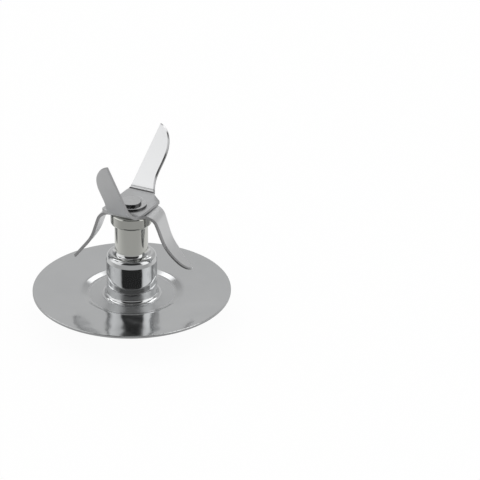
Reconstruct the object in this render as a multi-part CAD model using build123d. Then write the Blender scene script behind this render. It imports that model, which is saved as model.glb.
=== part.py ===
"""Blender blade assembly: a pressed base plate carries a turned bearing housing, and a
shaft with a square drive end runs through it and spins two crossed, folded blade strips.

Millimetres. The origin is on the shaft axis, level with the flat seat under the plate's rim.
+Z points along the shaft towards the blades, and +X along the lower blade strip.
"""
import os
from math import cos, radians, sin, tan
from typing import NamedTuple

from build123d import *

# Fits shared by the pieces
running_clearance = 0.04
seat_clearance = 0.02
collar_gap = 0.30

# Base plate: a disc pressed from stainless sheet, with a shallow cone, a soft step and a sunk middle
plate_radius = 33.0
plate_sheet = 0.8
rim_seat_width = 2.5
rim_edge_round = 0.15
cone_drop = 0.85
step_outer_radius = 17.1
step_width = 2.6
step_drop = 1.15
step_bend_radius = 2.8

# Bearing housing: turned in one piece, with a hollow foot, a body, a tapered shoulder and a slim neck
body_radius = 8.45
body_height = 15.45
foot_hollow = 1.45
foot_edge = 0.15
shoulder_height = 2.6
shoulder_taper = 10.5
shoulder_round = 1.75
shoulder_land = 0.05
neck_radius = 5.5
neck_flare_width = 0.95
neck_flare_height = 1.6
neck_top_height = 27.16
neck_bore_radius = 4.5
oil_chamber_radius = 6.3
oil_chamber_height = 12.6
spigot_radius = 7.3
swage_lip = 0.8
swage_height = 0.6

# Backing washer under the plate, which the spigot's end is swaged over
backing_radius = 10.5
backing_thickness = 0.9

# Sintered bushes, oil felt and shaft seal inside the housing
lower_bush_length = 7.2
upper_bush_length = 9.0
felt_bore_clearance = 0.35
seal_height = 1.6
seal_lip_height = 0.5
seal_groove_depth = 0.7

# Shaft: round journal, shouldered square drive end, flatted tang for the blades
shaft_radius = 3.175
tang_flats = 4.8
shoulder_radius = 5.4
shoulder_thickness = 0.9
square_across_flats = 8.0
square_corner_radius = 5.3
square_length = 4.2
square_lead_chamfer = 0.6
head_lip = 0.225
head_thickness = 0.8
head_round = 0.15

# Thrust washers at the two ends of the housing
steel_washer_thickness = 0.5
fibre_washer_thickness = 0.6
thrust_washer_radius = 5.1
top_washer_thickness = 0.6
top_washer_radius = 5.2

# Collar: a turned cap that turns with the blades and skirts the top of the neck
collar_wall = 1.0
collar_web = 2.79
collar_skirt = 1.7
collar_top_round = 1.25
collar_skirt_round = 0.9

# Blade strips: both are stamped from the same sheet and bent on either side of the hub
blade_sheet = 1.0
blade_hone = 0.4
spacer_radius = 4.9
spacer_thickness = 0.15
clamp_washer_radius = 5.15
clamp_washer_thickness = 0.6
strip_crossing = 82.0

# Upper strip, flat: distances along the arm from the axis, offsets to the cutting side
upper_tip_reach = 35.0
upper_short_cut = 0.9
upper_tip_back = 2.8
upper_back_reach = 9.3
upper_back_half = 6.7
upper_hub_half = 7.1
upper_shoulder_reach = 6.5
upper_root_reach = 10.2
upper_root_edge = 3.2
upper_waist_reach = 16.9
upper_waist_edge = 1.6
upper_belly_reach = 25.3
upper_belly_edge = 2.55
upper_nose_setback = 2.8
upper_nose_edge = 0.7
# Its two arms are bent up at different angles, the steep one in a wide curve and cut shorter
shallow_fold_reach = 11.2
shallow_fold_angle = 50.0
shallow_fold_radius = 2.5
steep_fold_reach = 10.97
steep_fold_angle = 68.0
steep_fold_radius = 8.3

# Lower strip, flat, in the same way; its arms drop and then kick outwards, and one is cut shorter
lower_tip_reach = 32.1
lower_short_cut = 1.9
lower_tip_back = 3.4
lower_back_reach = 9.0
lower_back_half = 5.2
lower_hub_half = 5.6
lower_shoulder_reach = 2.7
lower_root_reach = 8.6
lower_root_edge = 3.7
lower_waist_reach = 12.6
lower_waist_edge = 3.1
lower_belly_reach = 18.3
lower_belly_edge = 2.8
lower_nose_setback = 3.6
lower_nose_edge = 0.8
lower_fold_reach = 9.1
lower_fold_angle = 71.0
lower_fold_radius = 4.0
kick_reach = 19.9
kick_angle = 51.5
kick_bend_radius = 18.0

# Heights that follow from the sizes above
rim_top = plate_sheet
step_top = rim_top - cone_drop
floor_top = step_top - step_drop
floor_under = floor_top - plate_sheet
backing_under = floor_under - backing_thickness
housing_under = backing_under - swage_height
shoulder_top = housing_under - steel_washer_thickness - fibre_washer_thickness
square_top = shoulder_top - shoulder_thickness
drive_end = square_top - square_length
neck_top = floor_top + neck_top_height
chamber_top = floor_top + oil_chamber_height
collar_seat = neck_top + top_washer_thickness
collar_top = collar_seat + collar_web
lower_hub_top = collar_top + blade_sheet
upper_hub_under = lower_hub_top + spacer_thickness
upper_hub_top = upper_hub_under + blade_sheet
head_seat = upper_hub_top + clamp_washer_thickness
head_top = head_seat + head_thickness

# A wide bend is laid out as this many equal folds, each rounded over this share of its room
roll_folds = 3
roll_share = 0.98

# Cutting tools reach this far past the faces that they pass through
overcut = 3.0


def corner(face, radius, height):
    """The vertex of a flat section that lies nearest to a given point."""
    return face.vertices().sort_by_distance((radius, height, 0))[0]


def section(*points):
    """A closed flat face through (radius, height) points."""
    return make_face(Polyline(*points, close=True))


def turned(face):
    """A section spun round the shaft axis."""
    return revolve(Plane.XZ * face, axis=Axis.Z)


def ring(outer, inner, low, high):
    """A plain washer or sleeve between two heights."""
    return turned(section((inner, low), (outer, low), (outer, high), (inner, high)))


def tang_prism(clearance, low, high):
    """The shaft's flatted end, or the matching hole when a clearance is given."""
    disc = Circle(shaft_radius + clearance)
    band = Rectangle(2 * shaft_radius + 2 * overcut, tang_flats + 2 * clearance)
    return Pos(0, 0, low) * extrude(disc & band, high - low)


def base_plate():
    """A cone that sinks from the rim, one pressed step and a flat middle with the housing's hole.

    The rim's underside is flat where it seats.
    """
    hole = spigot_radius + seat_clearance
    bends = [(step_outer_radius, step_top), (step_outer_radius - step_width, floor_top)]
    top = [*bends, (hole, floor_top)]
    under = [(r, z - plate_sheet) for r, z in reversed(top)]
    seat = [(plate_radius - rim_seat_width, rim_top - plate_sheet), (plate_radius, rim_top - plate_sheet)]
    face = section((plate_radius, rim_top), *top, *under, *seat)
    for r, z in bends:
        face = fillet(corner(face, r, z), step_bend_radius)
        face = fillet(corner(face, r, z - plate_sheet), step_bend_radius)
    return turned(fillet(corner(face, plate_radius, rim_top), rim_edge_round))


def bearing_housing():
    """Hollow foot, body, tapered shoulder and neck, bored for the bushes from both ends."""
    foot_radius = body_radius + foot_hollow
    foot_low = floor_top + foot_edge
    foot_top = foot_low + foot_hollow
    body_top = floor_top + body_height
    wall_top = body_top - shoulder_height
    taper_top_radius = body_radius - shoulder_height * tan(radians(shoulder_taper))
    neck_base = body_top + neck_flare_height
    neck_flare_radius = neck_radius + neck_flare_width
    swage_radius = spigot_radius + swage_lip
    spigot_bore = oil_chamber_radius
    outside = [
        Line((spigot_bore, housing_under), (swage_radius, housing_under)),
        Line((swage_radius, housing_under), (swage_radius, backing_under)),
        Line((swage_radius, backing_under), (spigot_radius, backing_under)),
        Line((spigot_radius, backing_under), (spigot_radius, floor_top)),
        Line((spigot_radius, floor_top), (foot_radius, floor_top)),
        Line((foot_radius, floor_top), (foot_radius, foot_low)),
        TangentArc((foot_radius, foot_low), (body_radius, foot_top), tangent=(-1, 0)),
        Line((body_radius, foot_top), (body_radius, wall_top)),
        Line((body_radius, wall_top), (taper_top_radius, body_top)),
        Line((taper_top_radius, body_top), (neck_flare_radius, body_top)),
        TangentArc((neck_radius, neck_base), (neck_flare_radius, body_top), tangent=(0, -1)),
        Line((neck_radius, neck_base), (neck_radius, neck_top)),
        Line((neck_radius, neck_top), (neck_bore_radius, neck_top)),
        Line((neck_bore_radius, neck_top), (neck_bore_radius, chamber_top)),
        Line((neck_bore_radius, chamber_top), (spigot_bore, chamber_top)),
        Line((spigot_bore, chamber_top), (spigot_bore, housing_under)),
    ]
    face = make_face(outside)
    room = taper_top_radius - neck_flare_radius - shoulder_land
    rounding = min(shoulder_round, room / tan(radians((90 - shoulder_taper) / 2)))
    return turned(fillet(corner(face, taper_top_radius, body_top), rounding))


def backing_washer():
    return ring(backing_radius, spigot_radius + seat_clearance, backing_under, floor_under)


def lower_bush():
    bore = shaft_radius + running_clearance
    outer = oil_chamber_radius - seat_clearance
    return ring(outer, bore, housing_under, housing_under + lower_bush_length)


def upper_bush():
    bore = shaft_radius + running_clearance
    outer = neck_bore_radius - seat_clearance
    top = neck_top - seal_height
    return ring(outer, bore, top - upper_bush_length, top)


def oil_felt():
    bore = shaft_radius + felt_bore_clearance
    outer = oil_chamber_radius - seat_clearance
    return ring(outer, bore, housing_under + lower_bush_length, chamber_top)


def shaft_seal():
    """Two lips run against the shaft, with a groove between them."""
    low = neck_top - seal_height
    lip = shaft_radius + running_clearance
    groove = lip + seal_groove_depth
    outer = neck_bore_radius - seat_clearance
    return turned(section(
        (lip, low), (outer, low), (outer, neck_top), (lip, neck_top),
        (lip, neck_top - seal_lip_height), (groove, neck_top - seal_lip_height),
        (groove, low + seal_lip_height), (lip, low + seal_lip_height),
    ))


def drive_shaft():
    """Square drive end, shoulder, journal, flatted tang and the peened head above the stack."""
    square = Rectangle(square_across_flats, square_across_flats) & Circle(square_corner_radius)
    drive = Pos(0, 0, drive_end) * extrude(square, square_length)
    drive = chamfer(drive.faces().sort_by(Axis.Z)[0].edges(), square_lead_chamfer)
    shoulder = Pos(0, 0, square_top) * extrude(Circle(shoulder_radius), shoulder_thickness)
    journal = Pos(0, 0, shoulder_top) * extrude(Circle(shaft_radius), collar_seat - shoulder_top)
    tang = tang_prism(0, collar_seat, head_seat)
    head_radius = shaft_radius + head_lip
    outline = section((0, head_seat), (head_radius, head_seat), (head_radius, head_top), (0, head_top))
    head = turned(fillet(corner(outline, head_radius, head_top), head_round))
    return drive + shoulder + journal + tang + head


def steel_thrust_washer():
    low = housing_under - steel_washer_thickness
    return ring(thrust_washer_radius, shaft_radius + running_clearance, low, housing_under)


def fibre_thrust_washer():
    high = housing_under - steel_washer_thickness
    return ring(thrust_washer_radius, shaft_radius + running_clearance, shoulder_top, high)


def top_thrust_washer():
    return ring(top_washer_radius, shaft_radius + running_clearance, neck_top, collar_seat)


def collar():
    """A cap with a flatted hole in its web and a skirt that clears the neck."""
    skirt_inner = neck_radius + collar_gap
    collar_radius = skirt_inner + collar_wall
    skirt_low = collar_seat - collar_skirt
    face = section(
        (0, collar_seat), (skirt_inner, collar_seat), (skirt_inner, skirt_low), (collar_radius, skirt_low),
        (collar_radius, collar_top), (0, collar_top),
    )
    face = fillet(corner(face, collar_radius, skirt_low), collar_skirt_round)
    face = fillet(corner(face, collar_radius, collar_top), collar_top_round)
    return turned(face) - tang_prism(seat_clearance, collar_seat - overcut, collar_top + overcut)


def blank(tips, back, shoulder, edge, nose, hone=0.0):
    """A flat strip with two arms, the second one half a turn round from the first.

    Points are (reach along the arm, offset to the cutting side), and the nose is set back from
    the tip. The edge runs from the arm's root to its tip, and honing takes the same width off
    it all along.
    """
    root, *bows = edge
    lines = []
    for side, (tip_reach, tip_offset) in zip((1, -1), tips):
        def place(reach, offset):
            return (side * reach, -side * offset)

        bows_and_nose = [*bows, (tip_reach - nose[0], nose[1])]
        honed = [(reach, offset - hone) for reach, offset in bows_and_nose]
        tip = (tip_reach - hone, tip_offset)
        lines += [
            Line(place(*shoulder), place(*root)),
            Spline(*[place(*point) for point in (root, *honed, tip)]),
            Line(place(*tip), place(*back)),
            Line(place(*back), place(-shoulder[0], -shoulder[1])),
        ]
    return make_face(lines)


def strip_prism(outline):
    """The blank's outline carried through the sheet, with its cutting edges honed on top."""
    full = blank(**outline)
    honed = blank(**outline, hone=blade_hone)
    under = Pos(0, 0, -blade_hone) * extrude(full, -blade_sheet - overcut)
    bevel = loft([Pos(0, 0, -blade_hone) * full, honed], ruled=True)
    return under + bevel + extrude(honed, overcut)


class Fold(NamedTuple):
    """A fold across an arm: how far out it is on the flat blank, the tilt past it and its radius."""
    reach: float
    tilt: float
    radius: float


def rolled(reach, tilt, radius):
    """A wide bend as a row of folds that round off into nearly one arc, with the radius inside it."""
    top_radius = radius if tilt > 0 else radius + blade_sheet
    pace = 2 * top_radius * tan(radians(abs(tilt) / roll_folds / 2))
    start = reach - top_radius * tan(radians(abs(tilt) / 2))
    return [
        Fold(start + (place + 0.5) * pace, tilt * (place + 1) / roll_folds, roll_share * radius)
        for place in range(roll_folds)
    ]


class Station(NamedTuple):
    """Where a fold comes to lie: a point of the arm's top face and the tilts on its two sides."""
    x: float
    z: float
    before: float
    fold: Fold

    def top(self, side):
        return (side * self.x, self.z)

    def under(self, side):
        """The point of the sheet's underside that lies across the fold."""
        middle = radians((self.before + self.fold.tilt) / 2)
        across = blade_sheet / cos(radians((self.fold.tilt - self.before) / 2))
        return (side * (self.x + across * sin(middle)), self.z - across * cos(middle))

    def limit(self, side):
        """The plane that halves the fold, facing outwards."""
        middle = radians((self.before + self.fold.tilt) / 2)
        return Plane(origin=(side * self.x, 0, self.z), z_dir=(side * cos(middle), 0, sin(middle)))

    def flat(self, side):
        """The place of the flat blank so that it lies in the arm's face past the fold."""
        tilt = side * radians(self.fold.tilt)
        face = Plane((side * self.x, 0, self.z), (cos(tilt), 0, sin(tilt)), (-sin(tilt), 0, cos(tilt)))
        return face.location * Pos(-side * self.fold.reach, 0, 0)


def stations(folds, hub_top, end_reach):
    """Walks out along an arm, fold by fold, and ends with a point past the arm's tip."""
    x, z, reach, tilt = 0.0, hub_top, 0.0, 0.0
    places = []
    for fold in (*folds, Fold(end_reach, folds[-1].tilt, 0.0)):
        x += (fold.reach - reach) * cos(radians(tilt))
        z += (fold.reach - reach) * sin(radians(tilt))
        places.append(Station(x, z, tilt, fold))
        reach, tilt = fold.reach, fold.tilt
    return places


def folded_strip(hub_top, outline, right_folds, left_folds):
    """A blank folded out of the hub's plane, right arm towards +X.

    The sheet's side profile is drawn whole and swept across, and each flat of it is trimmed
    by the blank's outline laid in that flat.
    """
    end_reach = max(reach for reach, _ in outline["tips"]) + overcut
    arms = {1: stations(right_folds, hub_top, end_reach), -1: stations(left_folds, hub_top, end_reach)}
    top = [s.top(-1) for s in reversed(arms[-1])] + [s.top(1) for s in arms[1]]
    under = [s.under(-1) for s in reversed(arms[-1])] + [s.under(1) for s in arms[1]]
    profile = section(*top, *reversed(under))
    for side, places in arms.items():
        for place in places[:-1]:
            rises = place.fold.tilt > place.before
            outside = place.fold.radius + blade_sheet
            profile = fillet(corner(profile, *place.top(side)), place.fold.radius if rises else outside)
            profile = fillet(corner(profile, *place.under(side)), outside if rises else place.fold.radius)
    sheet = extrude(Plane.XZ * profile, outline["shoulder"][1] + overcut, both=True)

    prism = strip_prism(outline)
    hub = sheet
    strip = Part()
    for side, places in arms.items():
        hub = split(hub, bisect_by=places[0].limit(side), keep=Keep.BOTTOM)
        for place, following in zip(places, places[1:]):
            flat = split(sheet, bisect_by=place.limit(side), keep=Keep.TOP)
            flat = split(flat, bisect_by=following.limit(side), keep=Keep.BOTTOM)
            strip += flat & (place.flat(side) * prism)
    return strip + (hub & (Pos(0, 0, hub_top) * prism))


def tang_hole():
    """The flatted hole through both strips."""
    return tang_prism(seat_clearance, collar_top - overcut, head_seat + overcut)


def upper_blade():
    outline = {
        "tips": [(reach, -upper_tip_back) for reach in (upper_tip_reach, upper_tip_reach - upper_short_cut)],
        "back": (upper_back_reach, -upper_back_half),
        "shoulder": (upper_shoulder_reach, upper_hub_half),
        "edge": [
            (upper_root_reach, upper_root_edge),
            (upper_waist_reach, upper_waist_edge),
            (upper_belly_reach, upper_belly_edge),
        ],
        "nose": (upper_nose_setback, upper_nose_edge),
    }
    shallow = Fold(shallow_fold_reach, shallow_fold_angle, shallow_fold_radius)
    steep = rolled(steep_fold_reach, steep_fold_angle, steep_fold_radius)
    strip = folded_strip(upper_hub_top, outline, [shallow], steep)
    return Rot(0, 0, strip_crossing) * strip - tang_hole()


def lower_blade():
    outline = {
        "tips": [(reach, -lower_tip_back) for reach in (lower_tip_reach, lower_tip_reach - lower_short_cut)],
        "back": (lower_back_reach, -lower_back_half),
        "shoulder": (lower_shoulder_reach, lower_hub_half),
        "edge": [
            (lower_root_reach, lower_root_edge),
            (lower_waist_reach, lower_waist_edge),
            (lower_belly_reach, lower_belly_edge),
        ],
        "nose": (lower_nose_setback, lower_nose_edge),
    }
    folds = [
        *rolled(lower_fold_reach, -lower_fold_angle, lower_fold_radius),
        Fold(kick_reach, -kick_angle, kick_bend_radius),
    ]
    return folded_strip(lower_hub_top, outline, folds, folds) - tang_hole()


def blade_spacer():
    return ring(spacer_radius, shaft_radius + seat_clearance, lower_hub_top, upper_hub_under)


def clamp_washer():
    return ring(clamp_washer_radius, shaft_radius + seat_clearance, upper_hub_top, head_seat)


def build():
    """Every piece by its name."""
    return {
        "base_plate": base_plate(),
        "bearing_housing": bearing_housing(),
        "backing_washer": backing_washer(),
        "lower_bush": lower_bush(),
        "upper_bush": upper_bush(),
        "oil_felt": oil_felt(),
        "shaft_seal": shaft_seal(),
        "drive_shaft": drive_shaft(),
        "steel_thrust_washer": steel_thrust_washer(),
        "fibre_thrust_washer": fibre_thrust_washer(),
        "top_thrust_washer": top_thrust_washer(),
        "collar": collar(),
        "lower_blade": lower_blade(),
        "blade_spacer": blade_spacer(),
        "upper_blade": upper_blade(),
        "clamp_washer": clamp_washer(),
    }


os.makedirs("parts", exist_ok=True)
for name, piece in build().items():
    export_step(piece, f"parts/{name}.step")
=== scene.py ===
from math import cos, radians, sin

import bmesh
import bpy
from mathutils import Matrix, Vector


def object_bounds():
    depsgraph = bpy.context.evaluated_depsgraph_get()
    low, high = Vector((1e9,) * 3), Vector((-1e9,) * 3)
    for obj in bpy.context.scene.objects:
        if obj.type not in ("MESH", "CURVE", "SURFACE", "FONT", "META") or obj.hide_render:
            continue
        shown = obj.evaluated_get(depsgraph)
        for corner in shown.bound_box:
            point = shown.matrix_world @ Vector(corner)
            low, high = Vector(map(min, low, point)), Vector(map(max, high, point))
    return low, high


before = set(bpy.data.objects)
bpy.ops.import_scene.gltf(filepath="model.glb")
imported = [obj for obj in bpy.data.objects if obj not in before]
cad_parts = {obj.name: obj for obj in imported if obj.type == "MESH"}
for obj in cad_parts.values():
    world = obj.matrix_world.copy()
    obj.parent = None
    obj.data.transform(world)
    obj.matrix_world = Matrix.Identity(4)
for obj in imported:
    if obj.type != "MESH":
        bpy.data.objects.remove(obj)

cad_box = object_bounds()

# Base plate. A disc blanked and pressed from stainless sheet, then polished on a turning pad,
# which leaves very fine rings. It is a soft mirror, with the faint waviness of thin pressed sheet,
# and duller in the sunk middle that the pad can't reach.


class Strand:
    """One output in a shader's tree of nodes. Sums and products of strands add Math nodes."""

    def __init__(self, tree, socket=None):
        self.tree = tree
        self.socket = socket

    def node(self, kind, settings=None, feeds=None, out=0):
        """Adds a node, sets it up, then gives each socket, by name or place, a value or a strand.

        A colour ramp's stops are (position, grey level), from first to last.
        """
        made = self.tree.nodes.new(kind)
        settings = dict(settings or {})
        stops = settings.pop("stops", [])
        for name, value in settings.items():
            setattr(made, name, value)
        for _ in stops[2:]:
            made.color_ramp.elements.new(0.5)
        for place, (position, grey) in enumerate(stops):
            made.color_ramp.elements[place].position = position
            made.color_ramp.elements[place].color = (grey, grey, grey, 1)
        for name, value in (feeds or {}).items():
            if isinstance(value, Strand):
                self.tree.links.new(value.socket, made.inputs[name])
            else:
                made.inputs[name].default_value = value
        return Strand(self.tree, made.outputs[out] if made.outputs else None)

    def math(self, operation, first, second):
        return self.node("ShaderNodeMath", {"operation": operation}, {0: first, 1: second})

    def __add__(self, other):
        return self.math("ADD", self, other)

    def __radd__(self, other):
        return self.math("ADD", other, self)

    def __sub__(self, other):
        return self.math("SUBTRACT", self, other)

    def __rsub__(self, other):
        return self.math("SUBTRACT", other, self)

    def __mul__(self, other):
        return self.math("MULTIPLY", self, other)

    def __rmul__(self, other):
        return self.math("MULTIPLY", other, self)

    def __truediv__(self, other):
        return self.math("DIVIDE", self, other)

    def __rtruediv__(self, other):
        return self.math("DIVIDE", other, self)

    def __abs__(self):
        return self.node("ShaderNodeMath", {"operation": "ABSOLUTE"}, {0: self})

    def along(self, direction):
        """How far a vector reaches in a direction."""
        feeds = {0: self, 1: direction}
        return self.node("ShaderNodeVectorMath", {"operation": "DOT_PRODUCT"}, feeds, out="Value")

    def rise(self, low, high):
        """Rises smoothly from 0 to 1 as the value goes from one limit to the other."""
        feeds = {"Value": self, "From Min": low, "From Max": high}
        return self.node("ShaderNodeMapRange", {"interpolation_type": "SMOOTHSTEP"}, feeds)


class Finish:
    """A metal, rubber or felt finish whose pattern is fixed to the piece's own coordinates."""

    def __init__(self, name, metallic):
        self.material = bpy.data.materials.new(name)
        self.material.use_nodes = True
        tree = self.material.node_tree
        self.shader = tree.nodes["Principled BSDF"]
        self.shader.inputs["Metallic"].default_value = metallic
        self.place = Strand(tree).node("ShaderNodeTexCoord", out="Object")

    def feed(self, socket, strand):
        strand.tree.links.new(strand.socket, self.shader.inputs[socket])

    def noise(self, size, detail, place=None):
        """Cloudy variation from 0 to 1 whose patches are about that many metres across."""
        feeds = {"Vector": place or self.place, "Scale": 1 / size, "Detail": detail}
        return self.place.node("ShaderNodeTexNoise", {"noise_dimensions": "3D"}, feeds)

    def lines(self, length, pitch):
        """Fine uneven lines, one after another along a length."""
        feeds = {"W": length / pitch, "Scale": 1.0, "Detail": 3.0}
        return self.place.node("ShaderNodeTexNoise", {"noise_dimensions": "1D"}, feeds)

    def axis_distance(self):
        """How far a point lies from the shaft's axis."""
        feeds = {0: self.place, 1: (1, 1, 0)}
        flat = self.place.node("ShaderNodeVectorMath", {"operation": "MULTIPLY"}, feeds)
        return self.place.node("ShaderNodeVectorMath", {"operation": "LENGTH"}, {0: flat}, out="Value")

    def height(self):
        return self.place.along((0, 0, 1))

    def faces(self, direction):
        """How squarely the surface faces a direction or its opposite, from 0 to 1."""
        return abs(self.place.node("ShaderNodeTexCoord", out="Normal").along(direction))

    def between(self, share, low, high):
        """A colour part of the way from one to another, each written out or made by other nodes."""
        low, high = (tone if isinstance(tone, Strand) else (*tone, 1) for tone in (low, high))
        return self.place.node("ShaderNodeMix", {"data_type": "RGBA"}, {0: share, 6: low, 7: high}, out=2)

    def relief(self, height, depth):
        """Bump that raises the surface by up to that many metres."""
        feeds = {"Height": height, "Strength": 1.0, "Distance": depth}
        self.feed("Normal", self.place.node("ShaderNodeBump", feeds=feeds))

    def onto(self, *nodes):
        for name in nodes:
            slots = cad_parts[name].data.materials
            slots.clear()
            slots.append(self.material)


plate_dull = (0.56, 0.57, 0.575)
plate_bright = (0.63, 0.635, 0.64)
plate_haze_size = 0.016
plate_wave_size = 0.009
plate_wave_depth = 0.0003
polish_ring_pitch = 0.00018
polish_ring_depth = 0.0000004
dull_middle_edge = (0.0148, 0.0138)

plate = Finish("polished_stainless", 1.0)
plate_radius = plate.axis_distance()
polish = plate.lines(plate_radius, polish_ring_pitch)
haze = plate.noise(plate_haze_size, 3.0)
wave = plate.noise(plate_wave_size, 1.0)
dull_middle = plate_radius.rise(*dull_middle_edge)
plate.feed("Base Color", plate.between(haze, plate_dull, plate_bright))
plate.feed("Roughness", 0.1 + 0.05 * haze + 0.02 * polish + 0.28 * dull_middle)
plate.relief(wave * plate_wave_depth + polish * polish_ring_depth, 1.0)
plate.onto("base_plate")

# Bearing housing. Turned from bar in one piece and chromed bright, and swaged into the plate.
# The chrome is close to a mirror, over turning marks that run round it, and is painted a little
# warmer on the neck, a painted reflection of the table it mirrors.

chrome_dull = (0.66, 0.67, 0.675)
chrome_bright = (0.74, 0.745, 0.75)
chrome_bloom_size = 0.006
neck_painted_tint = (0.68, 0.685, 0.645)
neck_from = (0.0148, 0.0158)
turning_pitch = 0.00022
turning_depth = 0.0000008

housing = Finish("bright_chrome", 1.0)
turning = housing.lines(housing.height(), turning_pitch)
bloom = housing.noise(chrome_bloom_size, 2.0)
# The neck's warmer tint is a painted reflection of the table it mirrors.
neck_tint_share = housing.height().rise(*neck_from)
chrome_tone = housing.between(bloom, chrome_dull, chrome_bright)
housing.feed("Base Color", housing.between(neck_tint_share, chrome_tone, neck_painted_tint))
housing.feed("Roughness", 0.025 + 0.03 * bloom + 0.015 * turning)
housing.relief(turning * turning_depth, 1.0)
housing.onto("bearing_housing")

# Plain washers. Stamped from steel sheet and tumbled, one under the plate that the housing is
# swaged over, one below the housing, and one that spaces the two blade strips.

washer_dull = (0.46, 0.47, 0.475)
washer_bright = (0.60, 0.605, 0.61)
tumble_size = 0.0006
tumble_depth = 0.000006

washers = Finish("tumbled_steel", 1.0)
tumble = washers.noise(tumble_size, 4.0)
washers.feed("Base Color", washers.between(tumble, washer_dull, washer_bright))
washers.feed("Roughness", 0.22 + 0.14 * tumble)
washers.relief(tumble, tumble_depth)
washers.onto("backing_washer", "steel_thrust_washer", "blade_spacer")

# Bushes. Sintered bronze sleeves, pressed into the two ends of the housing's bore and soaked
# in oil, with the open grain of pressed powder.

bronze_dark = (0.22, 0.13, 0.06)
bronze_light = (0.52, 0.34, 0.17)
powder_size = 0.00025
powder_depth = 0.00001

bushes = Finish("sintered_bronze", 1.0)
powder = bushes.noise(powder_size, 5.0)
bushes.feed("Base Color", bushes.between(powder, bronze_dark, bronze_light))
bushes.feed("Roughness", 0.34 + 0.2 * powder)
bushes.relief(powder, powder_depth)
bushes.onto("lower_bush", "upper_bush")

# Oil felt. A ring cut from wool felt that keeps oil between the two bushes. It is soaked brown
# and shows the tangle of its fibres.

felt_dark = (0.12, 0.085, 0.045)
felt_light = (0.26, 0.20, 0.12)
wool_size = 0.0005
wool_depth = 0.00008

felt = Finish("oiled_felt", 0.0)
wool = felt.noise(wool_size, 6.0)
felt.feed("Base Color", felt.between(wool, felt_dark, felt_light))
felt.feed("Roughness", 0.75 + 0.2 * wool)
felt.relief(wool, wool_depth)
felt.onto("oil_felt")

# Shaft seal. A moulded rubber ring with two lips, pushed into the top of the neck. It is nearly
# black, with the soft sheen that the mould leaves.

rubber_dark = (0.012, 0.012, 0.013)
rubber_light = (0.03, 0.03, 0.032)
moulding_size = 0.0012
moulding_depth = 0.000008

seal = Finish("seal_rubber", 0.0)
moulding = seal.noise(moulding_size, 3.0)
seal.feed("Base Color", seal.between(moulding, rubber_dark, rubber_light))
seal.feed("Roughness", 0.45 + 0.15 * moulding)
seal.relief(moulding, moulding_depth)
seal.onto("shaft_seal")

# Drive shaft. Ground stainless bar with a milled square at the drive end, and a head that is
# peened over the clamp washer once everything is stacked on it. Its rim is painted dark, as painted
# shade.

shaft_dull = (0.56, 0.565, 0.57)
shaft_bright = (0.68, 0.685, 0.69)
grinding_pitch = 0.00015
grinding_depth = 0.0000015
peening_size = 0.0009
peening_depth = 0.000008
# Painted shade for the head's rim, the clamp washer's wall and the sharp fold.
painted_shade_dark = (0.10, 0.10, 0.102)
head_rim = (0.00325, 0.00338)
head_from = (0.0300, 0.0305)

shaft = Finish("ground_stainless", 1.0)
grinding = shaft.lines(shaft.height(), grinding_pitch)
peening = shaft.noise(peening_size, 3.0)
# The head's rim is painted dark as painted shade.
rim_shade_share = shaft.axis_distance().rise(*head_rim) * shaft.height().rise(*head_from)
shaft_tone = shaft.between(peening, shaft_dull, shaft_bright)
shaft.feed("Base Color", shaft.between(rim_shade_share, shaft_tone, painted_shade_dark))
shaft.feed("Roughness", 0.13 + 0.08 * grinding + 0.06 * peening)
shaft.relief(grinding * grinding_depth + peening * peening_depth, 1.0)
shaft.onto("drive_shaft")

# Fibre washers. Cut from sheets of red vulcanised fibre, they take the thrust at both ends of the
# housing. Their faces are mottled, with little shine.

fibre_dark = (0.16, 0.035, 0.022)
fibre_light = (0.30, 0.085, 0.055)
mottle_size = 0.0008
mottle_depth = 0.00001

fibre = Finish("red_fibre", 0.0)
mottle = fibre.noise(mottle_size, 5.0)
fibre.feed("Base Color", fibre.between(mottle, fibre_dark, fibre_light))
fibre.feed("Roughness", 0.5 + 0.2 * mottle)
fibre.relief(mottle, mottle_depth)
fibre.onto("fibre_thrust_washer", "top_thrust_washer")

# Collar. A turned and chromed cap that turns with the blades and throws water off the neck.
# Its chrome is painted as warm as the neck's and a little darker, a painted reflection of the table it
# mirrors.

# Painted reflection: a warmer, darker tint than the housing's chrome.
collar_painted_dull = (0.55, 0.555, 0.52)
collar_painted_bright = (0.62, 0.625, 0.59)
collar_bloom_size = 0.005

collar = Finish("collar_chrome", 1.0)
collar_turning = collar.lines(collar.height(), turning_pitch)
collar_bloom = collar.noise(collar_bloom_size, 2.0)
collar.feed("Base Color", collar.between(collar_bloom, collar_painted_dull, collar_painted_bright))
collar.feed("Roughness", 0.03 + 0.03 * collar_bloom + 0.015 * collar_turning)
collar.relief(collar_turning * turning_depth, 1.0)
collar.onto("collar")

# Blade strips. Stamped from stainless sheet, bent on either side of the hub and tumbled to a soft
# sheen. The arms are painted lighter and the hub darker, as painted light and shade. Rolling marks run
# along each strip, and the sheared and honed edges are painted dark as painted shade, the lower strip's
# also dull. One raised arm is polished, with painted shade in its sharp fold.

# The arms are painted lighter and the hub darker, as painted light and shade.
arm_lit_dull = (0.70, 0.705, 0.71)
arm_lit_bright = (0.79, 0.795, 0.80)
hub_shaded_dull = (0.54, 0.545, 0.55)
hub_shaded_bright = (0.62, 0.625, 0.63)
# Painted shade on the sheared and honed edges.
lower_edge_shade = (0.50, 0.50, 0.505)
upper_edge_shade = (0.42, 0.42, 0.425)
edge_slant = (0.25, 0.55)
sheen_size = 0.007
rolling_pitch = 0.00035
rolling_stretch = 0.02
rolling_depth = 0.0000012
lower_arms_from = [(0.0065, 0.0085), (0.0065, 0.0085)]
upper_arms_from = [(0.010, 0.0125), (0.006, 0.009)]
upper_turn = radians(82)
# Painted shade along the sharp fold: where it lies, its width and where it ends across the strip.
sharp_fold = 0.0109
fold_shade_width = (0.00045, 0.0002)
fold_shade_end = (-0.0045, -0.0018)


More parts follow.
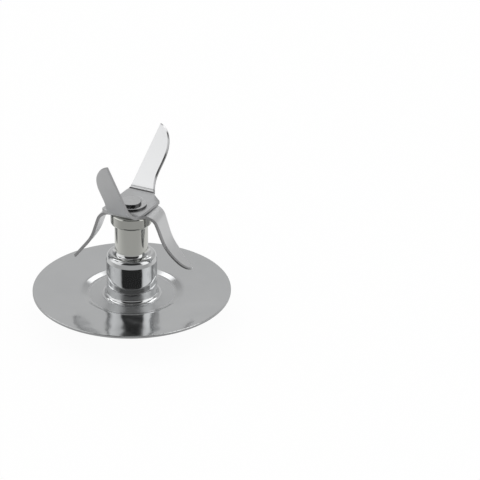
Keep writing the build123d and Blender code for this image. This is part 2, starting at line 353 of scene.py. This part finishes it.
def dress_strip(strip, turn, arms_from, edge_shade_tone, edge_dulling=0.0, polish=0.0, shaded_folds=()):
    """Gives a strip that lies at some angle to the X axis its finish.

    Each arm is painted brighter than the hub, as painted light, between two distances from the axis.
    Polish and the painted fold shade are on the first.
    """
    arm = (cos(turn), sin(turn), 0)
    across = (-sin(turn), cos(turn), 0)
    blade = Finish(strip + "_stainless", 1.0)
    reach = blade.place.along(arm)
    first_arm = reach.rise(*arms_from[0])
    second_arm = (0 - reach).rise(*arms_from[1])
    dull_shaded_edges = blade.faces(across).rise(*edge_slant)
    sheen = blade.noise(sheen_size, 2.0)
    feeds = {"Vector": blade.place, "Rotation": (0, 0, turn), "Scale": (1 / rolling_stretch, 1, 1)}
    grain = blade.place.node("ShaderNodeMapping", {"vector_type": "TEXTURE"}, feeds)
    rolling = blade.noise(rolling_pitch, 3.0, grain)

    # Painted light and shade: the arms lighter than the hub.
    shaded_hub_tone = blade.between(sheen, hub_shaded_dull, hub_shaded_bright)
    lit_arm_tone = blade.between(sheen, arm_lit_dull, arm_lit_bright)
    tone = blade.between(first_arm + second_arm, shaded_hub_tone, lit_arm_tone)
    # The edges are painted darker as painted shade; their added roughness is real dulling.
    tone = blade.between(dull_shaded_edges, tone, edge_shade_tone)
    # Painted shade in the sharp fold.
    for fold in shaded_folds:
        fold_shade = abs(reach - fold).rise(*fold_shade_width) * blade.place.along(across).rise(*fold_shade_end)
        tone = blade.between(fold_shade, tone, painted_shade_dark)
    blade.feed("Base Color", tone)
    dulled = edge_dulling * dull_shaded_edges - polish * first_arm
    blade.feed("Roughness", 0.24 + 0.06 * sheen + 0.06 * rolling + dulled)
    blade.relief(rolling, rolling_depth)
    blade.onto(strip)


dress_strip("lower_blade", 0.0, lower_arms_from, lower_edge_shade, edge_dulling=0.12)
dress_strip("upper_blade", upper_turn, upper_arms_from, upper_edge_shade, polish=0.15, shaded_folds=[sharp_fold])

# Clamp washer. A stamped stainless washer that spreads the peened head's grip over the upper
# strip. Its sheared wall is painted dark with the same painted shade as the head's rim.

clamp_tumble_size = 0.0012
clamp_tumble_depth = 0.000003
clamp_face_slant = (0.3, 0.7)

clamp = Finish("clamp_stainless", 1.0)
clamp_tumble = clamp.noise(clamp_tumble_size, 4.0)
# Faces that don't face up take the painted shade: the wall is painted dark as painted shade.
flat_share = clamp.faces((0, 0, 1)).rise(*clamp_face_slant)
clamp_tone = clamp.between(clamp_tumble, shaft_dull, shaft_bright)
clamp.feed("Base Color", clamp.between(flat_share, painted_shade_dark, clamp_tone))
clamp.feed("Roughness", 0.14 + 0.08 * clamp_tumble)
clamp.relief(clamp_tumble, clamp_tumble_depth)
clamp.onto("clamp_washer")

# Table. The part stands on its drive end on a pale matt table that keeps its shadow. To mirrored
# rays the table glows grey, painted darker on the camera's side as painted shade.

camera_place = Vector((0.20387, -0.54457, 0.3156))
towards_camera = Vector((camera_place.x, camera_place.y, 0)).normalized()
table_size = 6.0
table_tone = (0.93, 0.93, 0.92)
table_white_share = 0.95
# Painted shade: in the metal the table glows darker towards the camera.
table_shade_near = 0.38
table_shade_far = 0.68
table_shade_fade = (0.055, -0.035)
table_mirror_share = 0.9

floor_mesh = bpy.data.meshes.new("table")
sheet = bmesh.new()
bmesh.ops.create_grid(sheet, x_segments=1, y_segments=1, size=table_size / 2)
bmesh.ops.translate(sheet, vec=(0, 0, cad_box[0].z), verts=sheet.verts)
sheet.to_mesh(floor_mesh)
sheet.free()
table = bpy.data.objects.new("table", floor_mesh)
bpy.context.scene.collection.objects.link(table)

table_paint = bpy.data.materials.new("pale_table")
table_paint.use_nodes = True
table_paint.node_tree.nodes.clear()
paint = Strand(table_paint.node_tree)
seen = paint.node("ShaderNodeLightPath", out="Is Camera Ray")
seen = seen + paint.node("ShaderNodeLightPath", out="Is Transmission Ray")
mirrored = paint.node("ShaderNodeLightPath", out="Is Glossy Ray")
nearness = paint.node("ShaderNodeTexCoord", out="Object").along(towards_camera)
painted_table_shade = table_shade_near + (table_shade_far - table_shade_near) * nearness.rise(*table_shade_fade)
matt = paint.node("ShaderNodeBsdfDiffuse", feeds={"Color": (*table_tone, 1)})
white = paint.node("ShaderNodeEmission", feeds={"Color": (1, 1, 1, 1)})
grey = paint.node("ShaderNodeEmission", feeds={"Color": painted_table_shade})
shown = paint.node("ShaderNodeMixShader", feeds={0: seen * table_white_share, 1: matt, 2: white})
shown = paint.node("ShaderNodeMixShader", feeds={0: mirrored * table_mirror_share, 1: shown, 2: grey})
paint.node("ShaderNodeOutputMaterial", feeds={"Surface": shown})
floor_mesh.materials.append(table_paint)

# Light tent. The metal mirrors a tent that is open and dark towards the camera over a grey skirt, with
# a lit panel at each side, a lamp behind each panel and a dim roof. Each ring lists levels by degrees
# round from the camera, to the left below zero and to the right above it.

brightest = 2.0
low_ring = [
    (-180, 0.66), (-160, 0.56), (-144, 0.33), (-131, 0.24), (-120, 0.42), (-106, 1.0), (-92, 1.15),
    (-64, 0.92), (-52, 0.8), (-45, 0.03), (45, 0.03), (51, 1.0), (60, 1.2), (80, 1.32), (96, 1.15),
    (104, 0.42), (110, 0.34), (118, 0.5), (126, 0.55), (140, 0.5), (150, 0.5), (162, 0.62), (180, 0.66),
]
high_ring = [
    (-180, 0.66), (-160, 0.66), (-155, 0.4), (-150, 0.4), (-144, 2.0), (-114, 2.0), (-107, 0.15),
    (-86, 0.2), (-74, 1.15), (-54, 1.15), (-46, 0.03), (46, 0.03), (54, 1.3), (74, 1.3), (86, 0.2),
    (107, 0.15), (114, 2.0), (144, 2.0), (150, 0.4), (155, 0.4), (160, 0.66), (180, 0.66),
]
ring_tops = [
    (-180, 56), (-140, 56), (-134, 64), (-114, 64), (-106, 50), (-50, 50), (-46, 60),
    (46, 60), (50, 50), (106, 50), (114, 64), (134, 64), (140, 56), (180, 56),
]
roof_ring = [
    (-180, 0.9), (-130, 0.95), (-92, 0.9), (-78, 0.42), (-50, 0.42), (-40, 0.2), (40, 0.2), (50, 0.42),
    (78, 0.42), (92, 0.85), (130, 0.85), (180, 0.7),
]
skirt_level = 0.42
skirt_top = (16, 21)
low_ring_top = (35, 41)
ring_top_fade = 0.05
roof_level = 0.10
roof_span = (62, 76)

world = bpy.data.worlds.new("light_tent")
bpy.context.scene.world = world
world.use_nodes = True
world.node_tree.nodes.clear()
sky = Strand(world.node_tree)
ray = sky.node("ShaderNodeTexCoord", out="Generated")
ray_height = ray.along((0, 0, 1))
camera_right = Vector((-towards_camera.y, towards_camera.x, 0))
ray_turn = sky.math("ARCTAN2", ray.along(camera_right), ray.along(towards_camera))
turn_share = ray_turn / radians(360) + 0.5


def tent_ring(levels):
    """The tent's brightness all round at one height, from behind, past the left and the camera."""
    stops = [(degree / 360 + 0.5, level / brightest) for degree, level in levels]
    return sky.node("ShaderNodeValToRGB", {"stops": stops}, {0: turn_share}) * brightest


def above(edges):
    """Rises from 0 to 1 between two angles over the horizon."""
    return ray_height.rise(*[sin(radians(edge)) for edge in edges])


skirt = tent_ring([(degree, max(level, skirt_level)) for degree, level in low_ring])
low_level = skirt + above(skirt_top) * (tent_ring(low_ring) - skirt)
walls = low_level + above(low_ring_top) * (tent_ring(high_ring) - low_level)
roof_edge = tent_ring(roof_ring)
roof = roof_edge + above(roof_span) * (roof_level - roof_edge)
wall_top = tent_ring([(degree, sin(radians(top))) for degree, top in ring_tops])
above_walls = (ray_height - wall_top).rise(-ring_top_fade, ring_top_fade)
tent = walls + above_walls * (roof - walls)
mirrored = sky.node("ShaderNodeLightPath", out="Is Glossy Ray")
feeds = {"Color": (1, 1, 1, 1), "Strength": 1 + mirrored * (tent - 1)}
backdrop = sky.node("ShaderNodeBackground", feeds=feeds)
sky.node("ShaderNodeOutputWorld", feeds={"Surface": backdrop})

# Camera. A long lens looks down on the part from its right front, from a little over half a metre
# away, and is rolled by about a degree.

camera_lens = 148.5
sensor = 36.0
camera_heading = radians(17.0)
camera_pitch = radians(27.06)
camera_roll = radians(0.93)

lens = bpy.data.cameras.new("camera")
lens.lens = camera_lens
lens.sensor_width = sensor
camera = bpy.data.objects.new("camera", lens)
aim = Matrix.Rotation(camera_heading, 4, "Z") @ Matrix.Rotation(radians(90) - camera_pitch, 4, "X")
camera.matrix_world = Matrix.Translation(camera_place) @ aim @ Matrix.Rotation(camera_roll, 4, "Z")
bpy.context.scene.collection.objects.link(camera)
bpy.context.scene.camera = camera
bpy.context.scene.view_settings.view_transform = "Standard"
